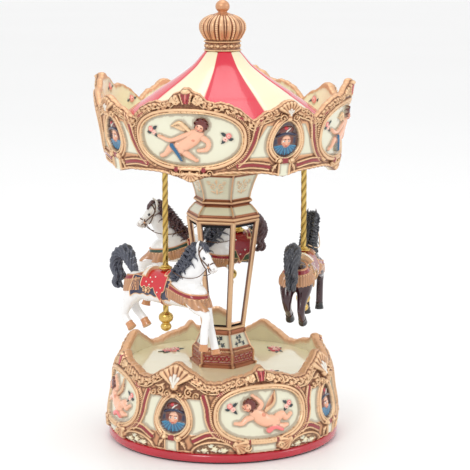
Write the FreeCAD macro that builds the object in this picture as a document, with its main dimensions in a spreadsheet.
"""Wind-up carousel music box: a turned and cast base, a mirrored column, a turning canopy and
three horses on rising poles. Millimetres, +Z up, origin at the middle of the underside,
-Y through the middle of one cherub cartouche of the base."""

import FreeCAD, Part
import math
import os
import re
import Sketcher
from FreeCAD import Placement, Rotation, Vector

SIZES = {
    # Clearances
    "running_fit": 0.05,
    "fixed_fit": 0.02,
    "moving_gap": 0.3,
    # Foot and base wall
    "felt_height": 0.8,
    "felt_width": 9.0,
    "foot_height": 5.7,
    "foot_width": 13.6,
    "foot_round": 1.6,
    "base_radius": 79.8,
    "wall_thickness": 5.0,
    "recess_height": 6.5,
    "cover_thickness": 2.5,
    "ledge_height": 3.5,
    "ledge_width": 18.0,
    "deck_height": 49.8,
    "deck_thickness": 3.3,
    "deck_seat_width": 4.7,
    "cherub_rise": 11.8,
    "cherub_shoulder_rise": 8.0,
    "cherub_foot_rise": 5.2,
    "rim_rise": 2.5,
    "medallion_foot_rise": 7.2,
    "medallion_rise": 13.8,
    # Column
    "column_turn": -2.5,
    "column_bore": 6.0,
    "plinth_radius": 23.4,
    "plinth_waist": 15.2,
    "plinth_height": 25.2,
    "frame_foot_radius": 14.5,
    "frame_head_radius": 24.5,
    "frame_height": 76.5,
    "frame_wall": 2.2,
    "collar_height": 3.9,
    "rail_height": 3.6,
    "post_width": 2.6,
    "mirror_thickness": 1.2,
    "hood_height": 7.0,
    "hood_top_radius": 18.8,
    "capital_height": 24.6,
    "capital_radius": 25.0,
    "rope_radius": 20.0,
    "neck_radius": 8.0,
    "neck_height": 19.0,
    # Lift track
    "track_radius": 50.0,
    "track_thickness": 2.5,
    "track_high_angle": 138.0,
    "track_hub_radius": 10.0,
    "track_hub_height": 11.0,
    "lift_amplitude": 6.1,
    # Drive shaft and bushes
    "shaft_radius": 2.5,
    "bush_radius": 5.0,
    "bush_flange": 7.5,
    "bush_flange_height": 1.2,
    # Canopy
    "carousel_turn": -35.1,
    "canopy_radius": 77.5,
    "canopy_flare": 10.5,
    "canopy_wall": 4.0,
    "band_clearance": 0.4,
    "band_height": 58.8,
    "skirt_rise": 5.2,
    "skirt_shoulder": 3.0,
    "skirt_medallion": 2.9,
    "crest_drop": 7.6,
    "crest_side_drop": 12.2,
    "notch_drop": 18.9,
    "crest_medallion_drop": 8.1,
    "plate_rise": 12.0,
    "plate_thickness": 3.0,
    "roof_seat_rise": 24.0,
    "roof_edge": 3.6,
    "roof_height": 54.4,
    "roof_top_radius": 12.0,
    "roof_thickness": 3.4,
    "hub_radius": 9.0,
    "hub_height": 18.0,
    "hub_screw_radius": 1.5,
    "finial_radius": 15.2,
    "finial_height": 34.9,
    # Horses and poles
    "pole_circle": 56.5,
    "pole_angle": -27.3,
    "pole_radius": 2.0,
    "pole_drop": 34.0,
    "guide_radius": 3.8,
    "guide_flange": 5.0,
    "guide_drop": 3.0,
    "guide_flange_height": 1.0,
    "head_radius": 4.0,
    "head_height": 4.0,
    "follower_radius": 0.9,
    "seat_ring_radius": 3.7,
    "seat_ring_height": 2.0,
    "finial_bead": 4.8,
    "seat_drop": 82.7,
    # Spring motor
    "bedplate_thickness": 3.0,
    "barrel_gap": 1.0,
    "barrel_radius": 13.0,
    "barrel_height": 10.5,
    "barrel_wall": 1.2,
    "arbor_radius": 2.5,
    "spring_strip": 0.35,
    "spring_turns": 7.0,
    "key_width": 24.0,
    "key_thickness": 2.0,
    "key_boss_radius": 3.6,
    "screw_radius": 1.5,
    "screw_head_radius": 2.8,
    "screw_head_height": 1.6,
    "cover_screw_circle": 58.5,
    # Gear train
    "crown_teeth": 36.0,
    "crown_radius": 12.0,
    "pinion_teeth": 12.0,
    "train_module": 0.4,
    "wheel_teeth": 40.0,
    "second_pinion_teeth": 10.0,
    "worm_wheel_teeth": 20.0,
    "worm_radius": 1.2,
    "mesh_clearance": 0.05,
    "train_arbor_radius": 0.9,
    # Cylinder, comb and governor
    "cylinder_radius": 6.5,
    "cylinder_start": 18.0,
    "cylinder_length": 20.0,
    "pin_length": 0.4,
    "comb_gap": 0.2,
    "comb_tooth_length": 10.0,
    "comb_teeth": 18.0,
    "comb_thickness": 0.8,
    "fan_radius": 4.0,
    "fan_height": 6.5,
}

# Places worked out from the sizes above
PLACES = {
    "foot_top": "felt_height + foot_height",
    "cover_bottom": "foot_top + recess_height",
    "cover_top": "cover_bottom + cover_thickness",
    "ledge_top": "cover_top + ledge_height",
    "deck_bottom": "deck_height - deck_thickness",
    "deck_radius": "base_radius - 11.6",
    "frame_bottom": "deck_height + plinth_height",
    "frame_top": "frame_bottom + frame_height + collar_height",
    "hood_top": "frame_top + hood_height",
    "capital_top": "hood_top + capital_height",
    "track_bottom": "capital_top + neck_height",
    "track_height": "track_bottom + 5.6",
    "band_bottom": "capital_top + band_clearance",
    "band_top": "band_bottom + band_height",
    "band_slope": "canopy_flare / band_height",
    "plate_bottom": "band_bottom + plate_rise",
    "plate_top": "plate_bottom + plate_thickness",
    "roof_seat": "band_bottom + roof_seat_rise",
    "roof_top": "roof_seat + roof_height",
    "roof_radius": "canopy_radius - canopy_wall + band_slope * roof_seat_rise - fixed_fit",
    "seat_height": "track_height - seat_drop",
    "bedplate_top": "cover_top + bedplate_thickness",
    "barrel_bottom": "bedplate_top + barrel_gap",
    "barrel_top": "barrel_bottom + barrel_height",
    "crown_module": "2 * crown_radius / crown_teeth",
    "crown_pinion_radius": "pinion_teeth * crown_module / 2",
    "arbor_height": "barrel_top + 1.1 * crown_module + crown_pinion_radius + mesh_clearance",
    "wheel_place": "cylinder_start + cylinder_length + 1",
    "second_offset": "(wheel_teeth + second_pinion_teeth) * train_module / 2 + mesh_clearance",
    "worm_place": "wheel_place + 8.25",
    "worm_offset": "second_offset + worm_wheel_teeth * train_module / 2 + worm_radius + mesh_clearance",
}

HORSES = (1, 2, 3)

document = FreeCAD.newDocument("CarouselMusicBox")
sheet = document.addObject("Spreadsheet::Sheet", "Sizes")
for row, (alias, value) in enumerate(SIZES.items(), start=1):
    sheet.set(f"A{row}", alias)
    sheet.set(f"B{row}", str(value))
    sheet.setAlias(f"B{row}", alias)
document.recompute()

WORD = re.compile(r"[a-z][a-z_]*[a-z]")
nodes = {}


def spelled(expression):
    """An expression with every named place written out in sizes."""
    def swap(match):
        word = match.group()
        return f"({spelled(PLACES[word])})" if word in PLACES else word
    return WORD.sub(swap, str(expression))


def bound(expression):
    """The same expression as another object of the document reads it."""
    return WORD.sub(lambda m: f"Sizes.{m.group()}" if m.group() in SIZES else m.group(), spelled(expression))


def num(expression):
    """The value of an expression, in millimetres or degrees."""
    return float(sheet.evalExpression(spelled(expression)))


def bind(item, name, expression):
    item.setExpression(name, bound(expression))


def place(item, x=0, y=0, z=0, turn=0):
    """Puts an object at x, y, z, turned about +Z."""
    item.Placement = Placement(Vector(num(x), num(y), num(z)), Rotation(Vector(0, 0, 1), num(turn)))
    for axis, value in zip("xyz", (x, y, z)):
        bind(item, f"Placement.Base.{axis}", value)
    if turn != 0:
        bind(item, "Placement.Rotation.Angle", turn)
    return item


def finished(name, item):
    """Names a sub-part: its label is its file's name."""
    item.Label = name
    nodes[name] = item
    return item


# Primitives and booleans

def cylinder(name, radius, bottom, height, x=0, y=0):
    item = document.addObject("Part::Cylinder", name)
    bind(item, "Radius", radius)
    bind(item, "Height", height)
    return place(item, x, y, bottom)


def bar(name, radius, start, length, y, z):
    """A cylinder that lies along +X."""
    item = document.addObject("Part::Cylinder", name)
    bind(item, "Radius", radius)
    bind(item, "Height", length)
    item.Placement = Placement(Vector(num(start), num(y), num(z)), Rotation(Vector(0, 1, 0), 90))
    for axis, value in zip("xyz", (start, y, z)):
        bind(item, f"Placement.Base.{axis}", value)
    return item


def box(name, low, size):
    item = document.addObject("Part::Box", name)
    for side, value in zip(("Length", "Width", "Height"), size):
        bind(item, side, value)
    return place(item, *low)


def fuse(name, items):
    item = document.addObject("Part::MultiFuse", name)
    item.Shapes = items
    return item


def cut(name, base, tools):
    item = document.addObject("Part::Cut", name)
    item.Base = base
    item.Tool = tools[0] if len(tools) == 1 else fuse(name + "_tools", tools)
    return item


def feature(name, shape, placement=None):
    item = document.addObject("Part::Feature", name)
    item.Shape = shape
    item.Placement = placement or Placement()
    return item


# PartDesign bodies

def new_body(name):
    return document.addObject("PartDesign::Body", name)


def origin_part(body, role):
    return [item for item in body.Origin.OriginFeatures if item.Role == role][0]


def outline(body, name, plane, points, level=0):
    """A closed sketch of straight lines whose corners are bound to the sizes."""
    sketch = body.newObject("Sketcher::SketchObject", name)
    sketch.AttachmentSupport = [(origin_part(body, plane), "")]
    sketch.MapMode = "FlatFace"
    if level != 0:
        sketch.AttachmentOffset = Placement(Vector(0, 0, num(level)), Rotation())
        bind(sketch, "AttachmentOffset.Base.z", level)
    corners = [(num(x), num(y)) for x, y in points]
    count = len(corners)
    for index, corner in enumerate(corners):
        following = corners[(index + 1) % count]
        sketch.addGeometry(Part.LineSegment(Vector(*corner, 0), Vector(*following, 0)), False)
    for index in range(count):
        sketch.addConstraint(Sketcher.Constraint("Coincident", index, 2, (index + 1) % count, 1))
    for index, corner in enumerate(corners):
        for side, kind in enumerate(("DistanceX", "DistanceY")):
            if abs(corner[side]) < 1e-9:
                sketch.addConstraint(Sketcher.Constraint("PointOnObject", index, 1, -2 + side))
                continue
            made = sketch.addConstraint(Sketcher.Constraint(kind, -1, 1, index, 1, corner[side]))
            bind(sketch, f"Constraints[{made}]", points[index][side])
    return sketch


def turned(name, points):
    """A body turned about +Z from its half outline, as radius and height."""
    body = new_body(name)
    sketch = outline(body, name + "_outline", "XZ_Plane", points)
    revolution = body.newObject("PartDesign::Revolution", name + "_turned")
    revolution.Profile = sketch
    revolution.ReferenceAxis = (sketch, ["V_Axis"])
    revolution.Angle = 360
    return body


def repeat(body, name, features, count):
    """Repeats features of a body around +Z."""
    document.recompute()
    pattern = body.newObject("PartDesign::PolarPattern", name)
    pattern.Originals = features
    pattern.Axis = (origin_part(body, "Z_Axis"), [""])
    pattern.Angle = 360
    pattern.Occurrences = count
    body.Tip = pattern
    return pattern


def pocket_through(body, name, sketch):
    pocket = body.newObject("PartDesign::Pocket", name)
    pocket.Profile = sketch
    pocket.Type = "ThroughAll"
    return pocket


def hexagon(radius):
    return [(f"({radius}) * cos({60 * corner})", f"({radius}) * sin({60 * corner})") for corner in range(6)]


def loft(body, name, kind, sections):
    """A straight-sided loft through outlines, given as a level and its points."""
    sketches = [outline(body, f"{name}_{index}", "XY_Plane", points, level)
                for index, (level, points) in enumerate(sections)]
    feature_made = body.newObject(f"PartDesign::{kind}Loft", name)
    feature_made.Profile = sketches[0]
    feature_made.Sections = sketches[1:]
    feature_made.Ruled = True
    return feature_made


def hex_stack(name, levels):
    """A six-sided body through corner radii at heights, with its corners on the column's angle."""
    body = new_body(name)
    loft(body, name + "_stack", "Additive", [(level, hexagon(radius)) for radius, level in levels])
    place(body, turn="column_turn + 30")
    return body


def bored(name, body, bottom, height, radius="column_bore"):
    """A body with a round bore along +Z."""
    return finished(name, cut(name + "_bored", body, [cylinder(name + "_bore", radius, bottom, height)]))


# Foot, wall, deck and cover

def crest_points(radius, base, rises, top):
    """One crest of a rim as half angles and heights, mirrored, and closed above the wall."""
    half = [(f"({radius}) * sin({angle})", f"{base} + ({rise})") for angle, rise in rises]
    half.append((f"({radius} + 4) * sin(45)", half[-1][1]))
    mirrored = [(f"0 - ({x})", z) for x, z in reversed(half[1:])]
    last = half[-1][0]
    return mirrored + half + [(last, top), (f"0 - ({last})", top)]


def make_base():
    felt = cut("felt_cut", cylinder("felt_disc", "base_radius - 1.8", 0, "felt_height"),
               [cylinder("felt_hole", "base_radius - 1.8 - felt_width", -1, "felt_height + 2")])
    finished("felt_ring", felt)

    edge = "base_radius - 0.2"
    foot = turned("foot", [
        ("base_radius - foot_width", "felt_height"), (f"{edge} - foot_round", "felt_height"),
        (edge, "felt_height + foot_round"), (edge, "foot_top - foot_round"),
        (f"{edge} - foot_round", "foot_top"), ("base_radius - foot_width", "foot_top")])
    finished("foot_plinth", foot)

    inner = "base_radius - wall_thickness"
    wall = turned("wall", [
        ("base_radius - 1.8", "foot_top"), ("base_radius", "foot_top + 2.5"),
        ("base_radius", "cover_bottom"), ("base_radius - 0.8", "ledge_top + 3"),
        ("base_radius - 2.8", "deck_bottom - 11.5"), ("base_radius - 5.3", "deck_height + 1.2"),
        ("base_radius - 7.5", "deck_height + 7.2"), ("base_radius - 9", "deck_height + medallion_rise"),
        ("base_radius - 13", "deck_height + medallion_rise"), ("deck_radius", "deck_height + 7.2"),
        ("deck_radius", "deck_bottom"), ("deck_radius - deck_seat_width", "deck_bottom"),
        ("deck_radius - deck_seat_width", "deck_bottom - 2.5"),
        (f"{inner} - 4", "deck_bottom - 5.5"), (inner, "ledge_top + 3"), (inner, "ledge_top"),
        (f"{inner} - ledge_width", "ledge_top"), (f"{inner} - ledge_width", "cover_top"),
        (inner, "cover_top"), (inner, "foot_top")])
    rises = [(0, "cherub_rise"), (6, "cherub_shoulder_rise"), (16, "cherub_foot_rise"),
             (21, "rim_rise"), (27, "rim_rise"), (34, "medallion_foot_rise"),
             (40, "medallion_rise - 2.6"), (45, "medallion_rise")]
    rim = outline(wall, "rim_outline", "XZ_Plane", crest_points(
        "base_radius - 7.5", "deck_height", rises, "deck_height + medallion_rise + 10"))
    scallop = pocket_through(wall, "rim_scallop", rim)
    repeat(wall, "rim_scallops", [scallop], 4)
    holes = [cylinder(f"wall_screw_hole_{index}", "screw_radius + fixed_fit", "cover_top - 1",
                      "ledge_height + 2", f"cover_screw_circle * sin({45 + 90 * index})",
                      f"cover_screw_circle * cos({45 + 90 * index})") for index in range(4)]
    finished("base_shell", cut("wall_drilled", wall, holes))

    bored("deck_plate", cylinder("deck_disc", "deck_radius", "deck_bottom", "deck_thickness"),
          "deck_bottom - 1", "deck_thickness + 2", "bush_radius")

    holes = [cylinder("cover_middle", "arbor_radius + 1", "cover_bottom - 1", "cover_thickness + 2")]
    for index, (x, y) in enumerate(cover_screw_points() + bedplate_screw_points()):
        holes.append(cylinder(f"cover_hole_{index}", "screw_radius + fixed_fit", "cover_bottom - 1",
                              "cover_thickness + 2", x, y))
    for index in range(6):
        holes.append(cylinder(f"sound_hole_{index}", 2.5, "cover_bottom - 1", "cover_thickness + 2",
                              f"40 * cos({60 * index + 30})", f"40 * sin({60 * index + 30})"))
    cover = cylinder("cover_disc", f"{inner} - ledge_width + 5.5", "cover_bottom", "cover_thickness")
    finished("bottom_cover", cut("cover_drilled", cover, holes))


def cover_screw_points():
    return [(f"cover_screw_circle * sin({45 + 90 * index})", f"cover_screw_circle * cos({45 + 90 * index})")
            for index in range(4)]


def bedplate_screw_points():
    return [(-14, -16), (-14, 16), (34, -17)]


def screws(name, points, bottom, length):
    """Pan-head screws from below, heads under the given height."""
    pieces = []
    for index, (x, y) in enumerate(points):
        head = cylinder(f"{name}_head_{index}", "screw_head_radius", f"{bottom} - screw_head_height",
                        "screw_head_height", x, y)
        slot = box(f"{name}_slot_{index}", (f"{x} - 3", f"{y} - 0.3", f"{bottom} - screw_head_height - 1"),
                   (6, 0.6, 1.7))
        shank = cylinder(f"{name}_shank_{index}", "screw_radius", bottom, length, x, y)
        pieces.append(fuse(f"{name}_{index}", [cut(f"{name}_slotted_{index}", head, [slot]), shank]))
    group = document.addObject("Part::Compound", name + "_group")
    group.Links = pieces
    return finished(name, group)


# Column

def make_column():
    plinth = hex_stack("plinth", [
        ("plinth_radius", "deck_height"), ("plinth_radius", "deck_height + 1.8"),
        ("plinth_radius - 1.8", "deck_height + 2.4"), ("plinth_radius - 1.8", "deck_height + 10.2"),
        ("plinth_radius - 4.2", "deck_height + 13"), ("plinth_waist", "frame_bottom - 3"),
        ("plinth_waist + 0.8", "frame_bottom - 2"), ("plinth_waist + 0.8", "frame_bottom")])
    bored("column_plinth", plinth, "deck_height - 1", "plinth_height + 2")

    foot = "frame_foot_radius - frame_wall"
    head = "frame_head_radius - frame_wall"
    rail_top = "frame_bottom + frame_height"
    core = hex_stack("core", [(foot, "frame_bottom"), (head, rail_top), (head, "frame_top")])
    bored("column_core", core, "frame_bottom - 1", "frame_top - frame_bottom + 2")

    cage = hex_stack("cage", [
        ("frame_foot_radius", "frame_bottom"), ("frame_head_radius", rail_top),
        ("frame_head_radius + 0.7", f"{rail_top} + 0.4"), ("frame_head_radius + 0.7", "frame_top")])
    document.recompute()
    loft(cage, "cage_hollow", "Subtractive", [
        ("frame_bottom - 0.001", hexagon(foot)), (rail_top, hexagon(head)),
        ("frame_top + 0.001", hexagon(head))])
    window = loft(cage, "cage_window", "Subtractive", window_sections())
    repeat(cage, "cage_windows", [window], 6)
    finished("column_frame", cage)

    for index in range(6):
        pane = new_body(f"pane_{index + 1}")
        loft(pane, f"pane_sheet_{index + 1}", "Additive", pane_sections())
        place(pane, turn=f"column_turn + {30 + 60 * index}")
        finished(f"mirror_panel_{index + 1}", pane)

    hood = hex_stack("hood", [("frame_head_radius + 0.1", "frame_top"), ("frame_head_radius - 1.5",
                     "frame_top + 2.4"), ("hood_top_radius", "hood_top")])
    bored("column_hood", hood, "frame_top - 1", "hood_height + 2")

    capital = hex_stack("capital", [
        ("rope_radius - 1.4", "hood_top"), ("rope_radius", "hood_top + 1.4"),
        ("rope_radius", "hood_top + 2.6"), ("rope_radius - 1.4", "hood_top + 4"),
        ("rope_radius - 0.6", "hood_top + 8"), ("rope_radius + 1.4", "hood_top + 14"),
        ("capital_radius - 0.8", "capital_top - 4"), ("capital_radius", "capital_top - 3.4"),
        ("capital_radius", "capital_top")])
    neck = cylinder("capital_neck", "neck_radius", "capital_top", "neck_height")
    bored("column_capital", fuse("capital_whole", [capital, neck]), "hood_top - 1",
          "capital_height + neck_height + 2")

    make_track()


def pane_plane(level, inset):
    """Distance of a side of the column's core from the axis, plus an inset, at a level."""
    share = f"(({level}) - frame_bottom) / frame_height"
    return (f"((frame_foot_radius - frame_wall) + ({share}) * (frame_head_radius - frame_foot_radius))"
            f" * cos(30) + ({inset})")


def pane_width(level, margin):
    share = f"(({level}) - frame_bottom) / frame_height"
    return f"(frame_foot_radius + ({share}) * (frame_head_radius - frame_foot_radius)) / 2 - ({margin})"


def side_quad(level, near, far, margin):
    """A quadrilateral on the -Y side of the column."""
    width = pane_width(level, margin)
    inner = f"0 - ({pane_plane(level, near)})"
    outer = f"0 - ({pane_plane(level, far)})"
    return [(f"0 - ({width})", outer), (width, outer), (width, inner), (f"0 - ({width})", inner)]


def window_sections():
    low = "frame_bottom + rail_height"
    high = "frame_bottom + frame_height - rail_height"
    return [(level, side_quad(level, "0 - 0.6", "5", "post_width")) for level in (low, high)]


def pane_sections():
    low = "frame_bottom + rail_height + fixed_fit"
    high = "frame_bottom + frame_height - rail_height - fixed_fit"
    return [(level, side_quad(level, "fixed_fit", "mirror_thickness", "post_width + fixed_fit"))
            for level in (low, high)]


def make_track():
    """The fixed tilted ring that the poles' followers run around."""
    hub = cylinder("track_hub", "track_hub_radius", "track_bottom", "track_hub_height")
    disc = cylinder("track_disc", "track_radius", "0 - track_thickness / 2", "track_thickness")
    tilt = math.degrees(math.atan2(num("lift_amplitude"), num("track_radius")))
    high = math.radians(num("track_high_angle"))
    hinge = Vector(math.cos(high), math.sin(high), 0)
    disc.Placement = Placement(Vector(), Rotation(hinge, tilt))
    holes = [cylinder(f"track_hole_{index}", 13, -40, 80, f"30 * cos({120 * index})", f"30 * sin({120 * index})")
             for index in range(3)]
    plate = cut("track_plate", disc, holes)
    place(plate, z="track_height")
    bore = cylinder("track_bore", "bush_radius", "track_bottom - 1", "track_hub_height + 2")
    finished("lift_track", cut("track_bored", fuse("track_whole", [hub, plate]), [bore]))


def bush(name, bottom, height, flange_bottom):
    tube = cylinder(name + "_tube", "bush_radius", bottom, height)
    flange = cylinder(name + "_flange", "bush_flange", flange_bottom, "bush_flange_height")
    hole = cylinder(name + "_hole", "shaft_radius + running_fit", f"{bottom} - 5", f"{height} + 10")
    finished(name, cut(name + "_bored", fuse(name + "_whole", [tube, flange]), [hole]))


# Canopy

def make_canopy():
    inner = "canopy_radius - canopy_wall"
    def wall_at(rise, start=inner):
        return f"{start} + band_slope * ({rise})"
    band = turned("band", [
        (inner, "band_bottom"), ("canopy_radius", "band_bottom"),
        ("canopy_radius + canopy_flare", "band_top"), (f"{inner} + canopy_flare", "band_top"),
        (wall_at("roof_seat_rise"), "roof_seat"), (f"{inner} + 1", "roof_seat"),
        (f"{inner} + 1", "roof_seat - 3"), (wall_at("roof_seat_rise - 5"), "roof_seat - 5"),
        (wall_at("plate_rise"), "plate_bottom"), (f"{inner} - 2", "plate_bottom"),
        (f"{inner} - 2", "plate_bottom - 3"), (wall_at("plate_rise - 3"), "plate_bottom - 3")])
    top_radius = "canopy_radius + canopy_flare - 2"
    rises = [(0, 0), (5, "0 - 1.6"), (9, "0 - crest_drop + 1"), (16, "0 - crest_drop"), (23, "0 - crest_side_drop"),
             (29.4, "0 - notch_drop"), (33, "0 - notch_drop + 4"), (38, "0 - crest_side_drop"),
             (41, "0 - crest_medallion_drop - 2"), (45, "0 - crest_medallion_drop")]
    top = outline(band, "band_top_outline", "XZ_Plane",
                  crest_points(top_radius, "band_top", rises, "band_top + 10"))
    upper = pocket_through(band, "band_top_scallop", top)
    rises = [(0, 0), (6, "skirt_shoulder"), (13, "skirt_rise"), (34, "skirt_rise + 0.4"),
             (40, "skirt_rise - 1"), (45, "skirt_medallion")]
    low = outline(band, "band_low_outline", "XZ_Plane",
                  crest_points("canopy_radius", "band_bottom", rises, "band_bottom - 10"))
    lower = pocket_through(band, "band_low_scallop", low)
    repeat(band, "band_scallops", [upper, lower], 4)
    place(band, turn="carousel_turn")
    finished("canopy_band", band)

    thickness = "roof_thickness"
    roof = turned("roof", [
        ("shaft_radius + 1", "roof_top"), ("roof_top_radius", "roof_top"),
        ("roof_top_radius + 7.4", "roof_top - 8.7"), ("roof_top_radius + 17", "roof_top - 16.4"),
        ("roof_top_radius + 30.4", "roof_top - 25.4"), ("roof_top_radius + 51.5", "roof_top - 39.9"),
        ("roof_radius", "roof_seat + roof_edge"), ("roof_radius", "roof_seat"), ("roof_radius - 2.9", "roof_seat"),
        ("roof_top_radius + 50", f"roof_top - 39.6 - {thickness}"),
        ("roof_top_radius + 29.2", f"roof_top - 25.4 - {thickness}"),
        ("roof_top_radius + 15.6", f"roof_top - 16.4 - {thickness}"),
        ("roof_top_radius + 5.6", f"roof_top - 8.4 - {thickness}"),
        ("roof_top_radius - 1.5", f"roof_top - {thickness}"), ("shaft_radius + 1", f"roof_top - {thickness}")])
    place(roof, turn="carousel_turn")
    finished("canopy_roof", roof)

    plate = cylinder("underplate_disc", "canopy_radius - canopy_wall + band_slope * plate_rise - fixed_fit",
                     "plate_bottom", "plate_thickness")
    holes = [cylinder("underplate_middle", "neck_radius + 2", "plate_bottom - 1", "plate_thickness + 2")]
    for horse in HORSES:
        x, y = pole_point(horse)
        holes.append(cylinder(f"underplate_hole_{horse}", "guide_radius", "plate_bottom - 1",
                              "plate_thickness + 2", x, y))
    finished("canopy_underplate", cut("underplate_drilled", plate, holes))

    under_roof = "roof_top - roof_thickness"
    hub = cylinder("hub_boss", "hub_radius", f"{under_roof} - hub_height", "hub_height")
    hole = cylinder("hub_bore", "shaft_radius + fixed_fit", f"{under_roof} - hub_height - 1", "hub_height + 2")
    screw_height = f"{under_roof} - hub_height + 5"
    tapped = bar("hub_tapped", "hub_screw_radius + fixed_fit", 0, "hub_radius + 2", 0, screw_height)
    finished("canopy_hub", place(cut("hub_cut", hub, [hole, tapped]), turn="carousel_turn"))
    screw = bar("set_screw", "hub_screw_radius", "shaft_radius + fixed_fit", "hub_radius - shaft_radius + 0.5",
                0, screw_height)
    socket = bar("set_socket", 0.8, "hub_radius - 1", 3, 0, screw_height)
    finished("hub_screw", place(cut("set_screw_cut", screw, [socket]), turn="carousel_turn"))

    finished("crown_finial", turned("crown", [
        (0, "roof_top"), ("finial_radius - 4", "roof_top"), ("finial_radius - 3.6", "roof_top + 1"),
        ("finial_radius - 3.6", "roof_top + 6.6"), ("finial_radius - 4.6", "roof_top + 7.6"),
        ("finial_radius - 1.6", "roof_top + 12"), ("finial_radius", "roof_top + 17"),
        ("finial_radius - 1.6", "roof_top + 20"), ("finial_radius - 6", "roof_top + 23"),
        (4, "roof_top + 25"), (2.6, "roof_top + 26.6"), (3.6, "roof_top + finial_height - 7.4"),
        (4.7, "roof_top + finial_height - 4.7"), (3.4, "roof_top + finial_height - 1.4"),
        (0, "roof_top + finial_height")]))


# Horses

def horse_angle(horse):
    return f"(carousel_turn + pole_angle + {120 * (horse - 1)})"


def pole_point(horse):
    return f"pole_circle * sin{horse_angle(horse)}", f"0 - pole_circle * cos{horse_angle(horse)}"


def horse_seat(horse):
    return f"(seat_height + lift_amplitude * cos({horse_angle(horse)} - track_high_angle))"


def limb(start, start_radius, end, end_radius):
    """A tapered ten-sided limb with blunt ends."""
    first = Vector(*start)
    second = Vector(*end)
    along = (second - first).normalize()
    across = along.cross(Vector(0.02, 1, 0.01)).normalize()
    upward = along.cross(across)
    rings = [(first - along * 0.92 * start_radius, 0.4 * start_radius),
             (first - along * 0.4 * start_radius, 0.92 * start_radius),
             (first + along * 0.1 * start_radius, start_radius),
             (second - along * 0.1 * end_radius, end_radius),
             (second + along * 0.4 * end_radius, 0.92 * end_radius),
             (second + along * 0.92 * end_radius, 0.4 * end_radius)]
    spokes = [across * math.cos(math.pi * corner / 5) + upward * math.sin(math.pi * corner / 5)
              for corner in range(10)]
    corners = [[centre + spoke * radius for spoke in spokes] for centre, radius in rings]
    outlines = [corners[0], corners[-1]]
    for near, far in zip(corners, corners[1:]):
        outlines += [[near[index - 1], near[index], far[index], far[index - 1]] for index in range(10)]
    faces = [Part.Face(Part.makePolygon(points + points[:1])) for points in outlines]
    solid = Part.Solid(Part.Shell(faces))
    return solid if solid.Volume > 0 else solid.reversed()


def horse_shape():
    """A leaping horse heading along +X, its seat's middle at the origin."""
    limbs = [
        ((-21, 0, -13), 10, (20, 0, -13), 9.8), ((-8, 0, -8), 7.6, (8, 0, -8), 7.6),
        ((20, 0, -12), 9.4, (30, 0, -13), 7.8), ((22, 0, -9), 8.2, (33, 0, 11), 5.2),
        ((33, 0, 15), 4.8, (39, 0, 11), 4.2), ((39, 0, 11), 4.2, (44, 0, 6.2), 2.9),
        ((19, 0, 0), 2.4, (31, 0, 19), 2.4), ((-28, 0, -8), 3, (-38, 0, 6), 3.4),
        ((-38, 0, 6), 3.4, (-45, 0, -3), 3.4), ((-45, 0, -3), 3.4, (-44, 0, -14), 2.8),
        ((28, 4.4, -17), 4.4, (36, 4.6, -34), 2.5), ((36, 4.6, -34), 2.5, (40, 4.6, -47), 2.1),
        ((40, 4.6, -47), 2.5, (41, 4.6, -49.4), 2.9),
        ((29, -4.4, -16), 4.6, (41, -4.8, -24), 3), ((41, -4.8, -24), 3, (39.4, -4.8, -41), 2.1),
        ((39.4, -4.8, -41), 2.3, (39, -4.8, -46), 2.8),
        ((-24, 4.6, -15), 7.6, (-36, 4.8, -24), 4.2), ((-36, 4.8, -24), 3.6, (-31, 4.8, -33), 2.5),
        ((-31, 4.8, -33), 2.4, (-24, 4.8, -40), 2.8),
        ((-22, -4.6, -16), 7.4, (-32, -4.8, -27), 4), ((-32, -4.8, -27), 3.4, (-35, -4.8, -35), 2.4),
        ((-35, -4.8, -35), 2.4, (-29, -4.8, -41), 2.7)]
    for side in (-1, 1):
        limbs.append(((32, 2.4 * side, 18), 1.7, (33, 2.8 * side, 24), 0.7))
    pieces = [limb(*values) for values in limbs]
    whole = pieces[0].fuse(pieces[1:])
    ring = Part.makeCylinder(num("seat_ring_radius + fixed_fit"), 20)
    bore = Part.makeCylinder(num("pole_radius + fixed_fit"), 80, Vector(0, 0, -60))
    return whole.cut([ring, bore])


def make_horses():
    casting = horse_shape()
    for horse in HORSES:
        x, y = pole_point(horse)
        seat = horse_seat(horse)
        turn = Rotation(Vector(0, 0, 1), num(horse_angle(horse)))
        where = Placement(Vector(num(x), num(y), num(seat)), turn)
        finished(f"horse_{horse}", feature(f"casting_{horse}", casting.copy(), where))

        head = f"({seat} + seat_drop)"
        foot = f"({seat} - pole_drop)"
        rod = cylinder(f"rod_{horse}", "pole_radius", foot, f"{head} + head_height / 2 - {foot}", x, y)
        finished(f"pole_{horse}", rod)

        ring = cylinder(f"ring_{horse}", "seat_ring_radius", seat, "seat_ring_height", x, y)
        hole = cylinder(f"ring_hole_{horse}", "pole_radius + fixed_fit", f"{seat} - 1", "seat_ring_height + 2", x, y)
        finished(f"seat_ring_{horse}", cut(f"ring_cut_{horse}", ring, [hole]))

        finished(f"pole_finial_{horse}", place(turned(f"drop_{horse}", [
            ("pole_radius + fixed_fit", 0), ("pole_radius + 1.2", 0), ("finial_bead", -3),
            ("finial_bead", -5), ("pole_radius + 0.6", -8.4), ("finial_bead - 1", -10.6),
            (2, -13.2), (0, -13.5), (0, "28.5 - pole_drop"), ("pole_radius + fixed_fit", "28.5 - pole_drop")]),
            x, y, f"{seat} - 28.5"))

        make_head(horse, head)
        make_guide(horse)


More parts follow.
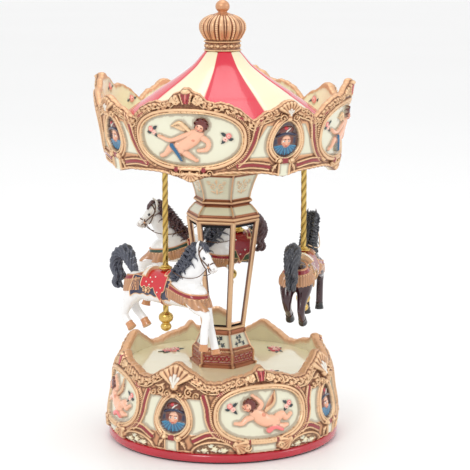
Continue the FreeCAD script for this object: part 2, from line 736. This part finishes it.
def make_head(horse, height):
    """The collar on a pole's top with its follower pin, which points at the lift track's rim."""
    collar = cylinder(f"collar_{horse}", "head_radius", f"0 - head_height / 2", "head_height")
    reach = "pole_circle - track_radius - moving_gap"
    pin = bar(f"follower_{horse}", "follower_radius", f"0 - ({reach})", f"{reach} - pole_radius - 0.5", 0, 0)
    hole = cylinder(f"collar_hole_{horse}", "pole_radius + fixed_fit", "0 - head_height", "2 * head_height")
    head = cut(f"head_cut_{horse}", fuse(f"head_whole_{horse}", [collar, pin]), [hole])
    x, y = pole_point(horse)
    place(head, x, y, height, f"{horse_angle(horse)} - 90")
    finished(f"pole_head_{horse}", head)


def make_guide(horse):
    x, y = pole_point(horse)
    tube = cylinder(f"guide_tube_{horse}", "guide_radius", "plate_bottom - guide_drop",
                    "plate_thickness + guide_drop", x, y)
    flange = cylinder(f"guide_flange_{horse}", "guide_flange", "plate_top", "guide_flange_height", x, y)
    hole = cylinder(f"guide_hole_{horse}", "pole_radius + running_fit", "plate_bottom - 2 * guide_drop", 30, x, y)
    finished(f"guide_bush_{horse}", cut(f"guide_cut_{horse}", fuse(f"guide_{horse}", [tube, flange]), [hole]))


# Spring motor

def make_motor():
    top = "bedplate_top"
    arbor_hole = cylinder("bedplate_middle", "arbor_radius + running_fit", "cover_top - 1", "bedplate_thickness + 2")
    holes = [cylinder(f"bedplate_hole_{index}", "screw_radius + fixed_fit", "cover_top - 1",
                      "bedplate_thickness + 2", x, y)
             for index, (x, y) in enumerate(bedplate_screw_points())]
    pivot = cylinder("bedplate_pivot", 0.65, "bedplate_top - 1", 3, "worm_place", "0 - worm_offset")
    plate = box("bedplate_sheet", (-20, -22, "cover_top"), ("worm_place + 24.35", 45, "bedplate_thickness"))
    pillar = box("bedplate_pillar", ("cylinder_start", "cylinder_radius + 11", top),
                 ("cylinder_length", 5.5, f"arbor_height - comb_thickness / 2 - {top}"))
    taps = [bar_down(f"pillar_tap_{index}", comb_screw_place(index)) for index in range(3)]
    whole = fuse("bedplate_whole", [plate, pillar])
    finished("movement_bedplate", cut("bedplate_drilled", whole, [arbor_hole, pivot] + holes + taps))

    screws("movement_screws", bedplate_screw_points(), "cover_bottom", "cover_thickness + bedplate_thickness")
    screws("cover_screws", cover_screw_points(), "cover_bottom", "cover_thickness + ledge_height")

    make_barrel()
    make_key()
    make_cylinder()
    make_comb()
    make_governor()


def comb_screw_place(index):
    return f"cylinder_start + cylinder_length * {(index + 0.5) / 3}", "cylinder_radius + 14.5"


def bar_down(name, point):
    return cylinder(name, "0.8 + fixed_fit", "arbor_height - 4", 6, *point)


def gear_shape(teeth, module, width, phase, bore=0.0):
    """A spur wheel along +X, with straight-flanked teeth. The phase is a tooth's angle from +Y."""
    pitch = math.pi * module
    radius = teeth * module / 2
    sides = ((radius - 1.1 * module, 0.30), (radius + 0.8 * module, 0.13))
    points = []
    for tooth in range(int(teeth)):
        centre = math.radians(phase) + 2 * math.pi * tooth / teeth
        corners = [(sides[0][0], -sides[0][1]), (sides[1][0], -sides[1][1]),
                   (sides[1][0], sides[1][1]), (sides[0][0], sides[0][1])]
        for reach, share in corners:
            angle = centre + share * pitch / radius
            points.append(Vector(0, reach * math.cos(angle), reach * math.sin(angle)))
    wire = Part.makePolygon(points + points[:1])
    shape = Part.Face(wire).extrude(Vector(width, 0, 0))
    if bore:
        shape = shape.cut(Part.makeCylinder(bore, width + 2, Vector(-1, 0, 0), Vector(1, 0, 0)))
    return shape


def crown_tooth(angle):
    """One tooth of the crown wheel on the barrel's top."""
    module = num("crown_module")
    pitch = math.pi * module
    inner = num("crown_radius") - 1
    outer = num("barrel_radius")
    bottom = num("barrel_top") - 0.2
    top = num("barrel_top + 1.9 * crown_module")
    low = 0.28 * pitch
    high = 0.13 * pitch
    profile = Part.makePolygon([Vector(inner, -low, bottom), Vector(inner, low, bottom), Vector(inner, high, top),
                                Vector(inner, -high, top), Vector(inner, -low, bottom)])
    tooth = Part.Face(profile).extrude(Vector(outer - inner, 0, 0))
    tooth.rotate(Vector(), Vector(0, 0, 1), angle)
    return tooth


def make_barrel():
    """The spring barrel with its crown wheel, the spring inside it and the drive shaft on top."""
    radius = num("barrel_radius")
    wall = num("barrel_wall")
    bottom = num("barrel_bottom")
    height = num("barrel_height")
    outer = Part.makeCylinder(radius, height, Vector(0, 0, bottom))
    hollow = Part.makeCylinder(radius - wall, height - 2 * wall, Vector(0, 0, bottom + wall))
    bore = Part.makeCylinder(num("arbor_radius + running_fit"), wall + 1, Vector(0, 0, bottom - 0.5))
    teeth = int(num("crown_teeth"))
    crown = [crown_tooth(360 * (tooth + 0.5) / teeth) for tooth in range(teeth)]
    shape = outer.cut([hollow, bore]).fuse(crown)
    finished("spring_barrel", feature("barrel", shape))

    turns = num("spring_turns")
    start = num("arbor_radius") + 2.4
    growth = (radius - wall - 0.4 - start) / turns
    steps = int(turns * 20)
    strip = num("spring_strip")
    spiral = [(start + growth * step / 20, 2 * math.pi * step / 20) for step in range(steps + 1)]
    inside = [Vector(reach * math.cos(angle), reach * math.sin(angle), 0) for reach, angle in spiral]
    outside = [Vector((reach + strip) * math.cos(angle), (reach + strip) * math.sin(angle), 0)
               for reach, angle in reversed(spiral)]
    coil = Part.Face(Part.makePolygon(inside + outside + inside[:1]))
    coil = coil.extrude(Vector(0, 0, height - 2 * wall - 1.2))
    finished("mainspring", feature("coil", coil, Placement(Vector(0, 0, bottom + wall + 0.6), Rotation())))

    shaft = cylinder("shaft_rod", "shaft_radius", "barrel_top", "roof_top - roof_thickness - barrel_top")
    flange = cylinder("shaft_flange", "bush_flange", "barrel_top", 1.6)
    finished("drive_shaft", fuse("shaft_whole", [shaft, flange]))
    bush("shaft_bush_lower", "deck_bottom - bush_flange_height", "deck_thickness + bush_flange_height",
         "deck_bottom - bush_flange_height")
    bush("shaft_bush_upper", "track_bottom + 3", "track_hub_height - 3", "track_bottom + track_hub_height")


def make_key():
    """The winding arbor, and the butterfly key in the recess under the base."""
    lower = cylinder("arbor_rod", "arbor_radius", "cover_bottom - 5", "barrel_bottom + barrel_wall - cover_bottom + 5.4")
    drum = cylinder("arbor_drum", "arbor_radius + 1.6", "barrel_bottom + barrel_wall + 0.4",
                    "barrel_height - 2 * barrel_wall - 0.8")
    finished("winding_arbor", fuse("arbor_whole", [lower, drum]))

    boss = cylinder("key_boss", "key_boss_radius", "felt_height + 4", "cover_bottom - felt_height - 5")
    wings = box("key_wings", ("0 - key_width / 2", "0 - key_thickness / 2", "felt_height + 1"),
                ("key_width", "key_thickness", "recess_height + foot_height - 5"))
    eyes = [eye(f"key_eye_{side}", f"{side} * (key_width / 2 - 4.2)") for side in (-1, 1)]
    socket = cylinder("key_socket", "arbor_radius + fixed_fit", "cover_bottom - 5", 10)
    finished("winding_key", cut("key_cut", fuse("key_whole", [boss, wings]), eyes + [socket]))


def eye(name, x):
    item = document.addObject("Part::Cylinder", name)
    item.Radius = 1.8
    item.Height = 10
    item.Placement = Placement(Vector(num(x), 5, num("felt_height + 4.6")), Rotation(Vector(1, 0, 0), 90))
    bind(item, "Placement.Base.x", x)
    bind(item, "Placement.Base.z", "felt_height + 4.6")
    return item


def make_cylinder():
    """The pinned cylinder, its arbor with both wheels, and the frame that carries it."""
    height = num("arbor_height")
    start = num("cylinder_start")
    length = num("cylinder_length")
    rod = num("train_arbor_radius")
    radius = num("cylinder_radius")
    wheel = num("wheel_place")
    along = Vector(1, 0, 0)

    crown_width = num("barrel_radius - crown_radius + 1")
    pinion = gear_shape(num("pinion_teeth"), num("crown_module"), crown_width, -90)
    pinion.translate(Vector(num("crown_radius") - 1, 0, height))
    teeth = num("wheel_teeth")
    large = gear_shape(teeth, num("train_module"), 1.4, 180 + 180 / teeth)
    large.translate(Vector(wheel, 0, height))
    rod_shape = Part.makeCylinder(rod, wheel + 5 - num("crown_radius") + 1,
                                  Vector(num("crown_radius") - 1, 0, height), along)
    finished("cylinder_arbor", feature("train_arbor", rod_shape.fuse([pinion, large])))

    drum = Part.makeCylinder(radius, length, Vector(start, 0, height), along)
    tracks = int(num("comb_teeth"))
    pins = []
    for track in range(tracks):
        x = start + length * (track + 0.5) / tracks
        for note in range(4):
            angle = math.radians((track * 67 + note * 90 + note * note * 11) % 360)
            outward = Vector(0, math.cos(angle), math.sin(angle))
            root = Vector(x, 0, height) + outward * (radius - 0.4)
            pins.append(Part.makeCylinder(0.22, 0.4 + num("pin_length"), root, outward))
    bore = Part.makeCylinder(rod + num("fixed_fit"), length + 2, Vector(start - 1, 0, height), along)
    finished("pinned_cylinder", feature("drum", drum.fuse(pins).cut(bore)))

    first = "cylinder_start - 3.5"
    second = "wheel_place + 3"
    upright_height = "arbor_height + 4.4 - bedplate_top"
    strip = box("frame_strip", (first, -5, "bedplate_top"), (f"{second} + 2 - ({first})", 10, 1))
    near = box("frame_near", (first, -5, "bedplate_top"), (2, 10, upright_height))
    far = box("frame_far", (second, "0 - second_offset - 2.5", "bedplate_top"), (2, "second_offset + 7.5", upright_height))
    holes = [bar("frame_hole", "train_arbor_radius + running_fit", 0, 80, 0, "arbor_height"),
             bar("frame_second_hole", "train_arbor_radius + running_fit", 0, 80, "0 - second_offset", "arbor_height")]
    finished("cylinder_frame", cut("frame_drilled", fuse("frame_whole", [strip, near, far]), holes))


def make_comb():
    """The steel comb, one tooth for each track of the cylinder, longer at the low end."""
    start = num("cylinder_start")
    length = num("cylinder_length")
    tip = num("cylinder_radius + pin_length + comb_gap")
    root = tip + num("comb_tooth_length")
    back = num("cylinder_radius") + 16.5
    count = int(num("comb_teeth"))
    pitch = length / count
    points = [Vector(start, back, 0)]
    for tooth in range(count):
        left = start + pitch * tooth + 0.16
        right = start + pitch * (tooth + 1) - 0.16
        low = root - 4 * tooth / count
        points += [Vector(left - 0.1, low, 0), Vector(left, tip, 0), Vector(right, tip, 0), Vector(right + 0.1, low, 0)]
    points.append(Vector(start + length, back, 0))
    plate = Part.Face(Part.makePolygon(points + points[:1]))
    thickness = num("comb_thickness")
    plate = plate.extrude(Vector(0, 0, thickness))
    plate.translate(Vector(0, 0, num("arbor_height") - thickness / 2))
    for index in range(3):
        x, y = comb_screw_place(index)
        plate = plate.cut(Part.makeCylinder(0.8 + num("fixed_fit"), 10, Vector(num(x), num(y), num("arbor_height") - 5)))
    finished("steel_comb", feature("comb", plate))

    pieces = []
    for index in range(3):
        point = comb_screw_place(index)
        shank = cylinder(f"comb_shank_{index}", 0.8, "arbor_height - 3.5", "3.5 + comb_thickness / 2", *point)
        head = cylinder(f"comb_head_{index}", 1.6, "arbor_height + comb_thickness / 2", 1.1, *point)
        pieces.append(fuse(f"comb_screw_{index}", [shank, head]))
    group = document.addObject("Part::Compound", "comb_screw_group")
    group.Links = pieces
    finished("comb_screws", group)


def make_governor():
    """The second arbor, the worm with its air fan, and the bracket that carries them."""
    height = num("arbor_height")
    module = num("train_module")
    wheel = num("wheel_place")
    offset = -num("second_offset")
    along = Vector(1, 0, 0)
    rod = Part.makeCylinder(num("train_arbor_radius"), 13.4, Vector(wheel - 1, offset, height), along)
    pinion = gear_shape(num("second_pinion_teeth"), module, 1.8, 0)
    pinion.translate(Vector(wheel - 0.2, offset, height))
    teeth = num("worm_wheel_teeth")
    driven = gear_shape(teeth, module, 1.4, 180 + 180 / teeth)
    driven.translate(Vector(num("worm_place") - 0.7, offset, height))
    finished("second_arbor", feature("second", rod.fuse([pinion, driven])))

    lead = math.pi * module
    core = 0.7
    outer = num("worm_radius") + 0.3
    turns = 5
    helix = Part.makeHelix(lead, turns * lead, num("worm_radius"))
    thread = Part.Wire(helix.Edges).makePipeShell([Part.makePolygon([
        Vector(core - 0.1, 0, -0.28), Vector(outer, 0, -0.12), Vector(outer, 0, 0.12),
        Vector(core - 0.1, 0, 0.28), Vector(core - 0.1, 0, -0.28)])], True, True)
    thread.rotate(Vector(), Vector(0, 0, 1), 90)
    thread.translate(Vector(0, 0, height - lead * (turns // 2)))
    bottom = num("bedplate_top") - 0.9
    worm_core = Part.makeCylinder(core, turns * lead + 3, Vector(0, 0, height - turns * lead / 2 - 1.5))
    spindle = Part.makeCylinder(0.6, height + 7 - bottom, Vector(0, 0, bottom))
    worm = worm_core.fuse([spindle, thread])
    spot = Vector(num("worm_place"), -num("worm_offset"), 0)
    finished("governor_worm", feature("worm", worm, Placement(spot, Rotation())))

    low = num("bedplate_top") + 2
    fan_height = num("fan_height")
    reach = num("fan_radius")
    hub = Part.makeCylinder(1.3, fan_height + 1, Vector(0, 0, low - 0.5))
    blades = Part.makeBox(2 * reach, 0.4, fan_height, Vector(-reach, -0.2, low))
    fan = hub.fuse(blades).cut(Part.makeCylinder(0.6 + num("fixed_fit"), 30, Vector(0, 0, low - 5)))
    finished("governor_fan", feature("fan", fan, Placement(spot, Rotation())))

    back = "0 - worm_offset - fan_radius - 2.8"
    top = "arbor_height + 5.6"
    wall = box("governor_wall", ("worm_place - 3.5", back, "bedplate_top"), (7.75, 1.5, f"{top} - bedplate_top + 1.5"))
    ear = box("governor_ear", ("worm_place + 2.75", back, "bedplate_top + 11.5"),
              (1.5, "worm_offset + fan_radius + 2.8 - second_offset + 2.5", f"{top} - bedplate_top - 10"))
    arm = box("governor_arm", ("worm_place - 3.5", back, top), (7.75, "fan_radius + 5", 1.5))
    holes = [bar("ear_hole", "train_arbor_radius + running_fit", 40, 40, "0 - second_offset", "arbor_height"),
             cylinder("arm_hole", "0.6 + running_fit", f"{top} - 1", 4, "worm_place", "0 - worm_offset")]
    finished("governor_bracket", cut("governor_drilled", fuse("governor_whole", [wall, ear, arm]), holes))


def write_parts():
    """Checks every object and every sub-part, then writes one file for each sub-part."""
    document.recompute()
    for item in document.Objects:
        if "Invalid" in item.State or "Error" in item.State:
            raise RuntimeError(f"{item.Name} failed: {item.State}")
    os.makedirs("parts", exist_ok=True)
    for name, item in nodes.items():
        if item.Shape.isNull() or not item.Shape.isValid() or item.Shape.Volume <= 0:
            raise RuntimeError(f"{name} has no valid solid")
        item.Shape.exportStep(os.path.join("parts", name + ".step"))


make_base()
make_column()
make_canopy()
make_horses()
make_motor()
write_parts()
print(len(nodes), "sub-parts")
